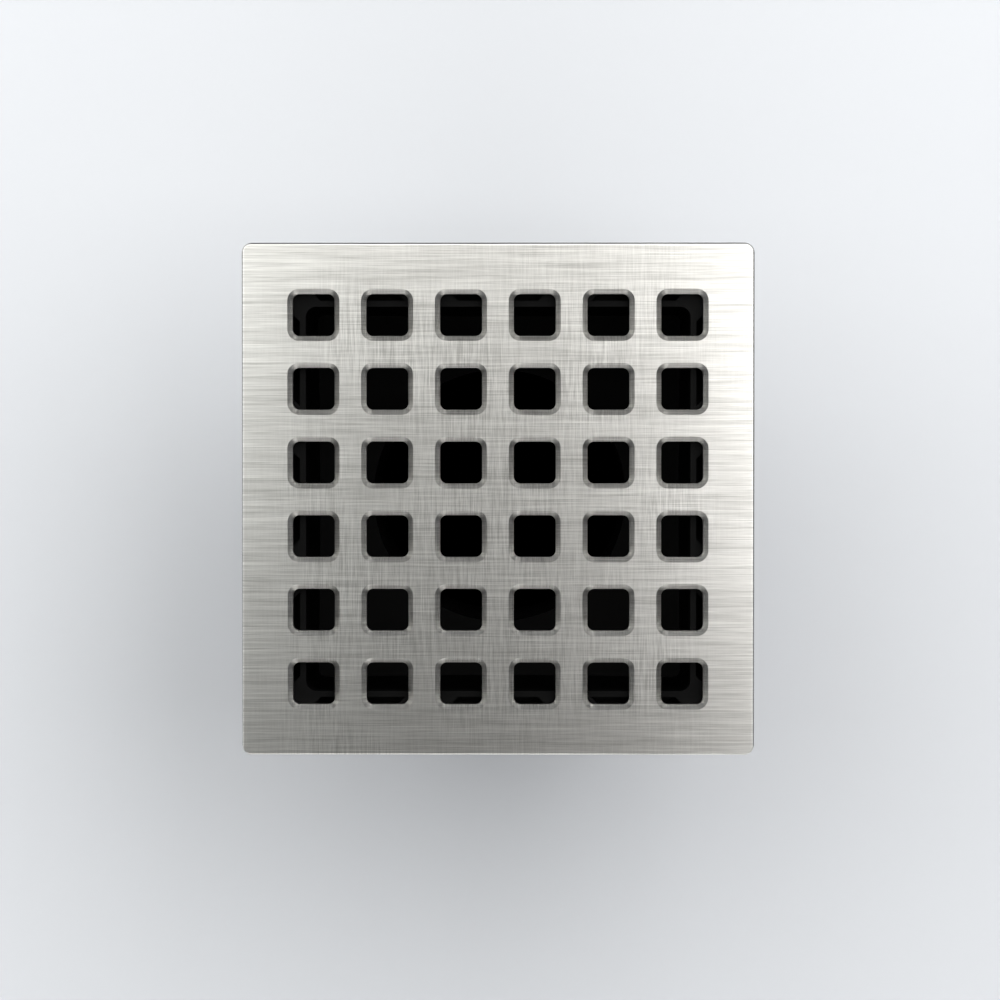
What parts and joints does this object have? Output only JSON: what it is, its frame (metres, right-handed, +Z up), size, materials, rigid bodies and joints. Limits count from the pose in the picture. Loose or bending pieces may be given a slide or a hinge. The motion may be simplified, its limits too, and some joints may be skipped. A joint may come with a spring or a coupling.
{
  "type": "square shower floor drain grate with riser",
  "caption": "Square brushed stainless shower drain grate with rounded square holes, on a black plastic height-adjustable riser with a lock ring.",
  "frame": {"origin": "centre of the outlet spigot's lower end", "axes": "+Z up through the grate; +X and +Y square to the grate's sides"},
  "size_m": [0.0958, 0.0958, 0.096],
  "materials": {
    "brushed_stainless": "brushed",
    "turned_stainless": "satin",
    "spring_steel": "satin",
    "black_abs": "matte",
    "white_nylon": "satin",
    "black_rubber": "matte",
    "grey_silicone": "matte"
  },
  "bodies": {
    "outlet": {"tailpiece": "black_abs", "swivel_o_ring": "black_rubber"},
    "head": {"riser_head": "black_abs", "retaining_ring": "spring_steel", "rest_pad_1": "grey_silicone", "rest_pad_2": "grey_silicone", "rest_pad_3": "grey_silicone", "rest_pad_4": "grey_silicone", "rest_pad_5": "grey_silicone", "rest_pad_6": "grey_silicone", "rest_pad_7": "grey_silicone", "rest_pad_8": "grey_silicone"},
    "grate": {"grate_plate": "brushed_stainless", "grate_post_1": "turned_stainless", "grate_post_2": "turned_stainless", "grate_post_3": "turned_stainless", "grate_post_4": "turned_stainless", "grip_ring_1": "grey_silicone", "grip_ring_2": "grey_silicone", "grip_ring_3": "grey_silicone", "grip_ring_4": "grey_silicone"},
    "clamp": {"slip_washer": "white_nylon", "drain_gasket": "black_rubber"},
    "nut": {"lock_ring": "black_abs"}
  },
  "joints": [
    {"name": "head_swivel", "type": "hinge", "parent": "outlet", "child": "head", "pos_m": [0, 0, 0.055], "axis": [0, 0, 1], "continuous": true},
    {"name": "grate_lift", "type": "slide", "parent": "head", "child": "grate", "axis": [0, 0, 1], "range_m": [0, 0.04]},
    {"name": "clamp_travel", "type": "slide", "parent": "outlet", "child": "clamp", "axis": [0, 0, 1], "range_m": [-0.01215, 0.00995]},
    {"name": "lock_ring_turn", "type": "hinge", "parent": "clamp", "child": "nut", "pos_m": [0, 0, 0.03125], "axis": [0, 0, 1], "range_deg": [-1980, 1620]}
  ],
  "couplings": [
    {"joint": "clamp_travel", "follows": "lock_ring_turn", "m_per_rad": 0.00035152}
  ]
}
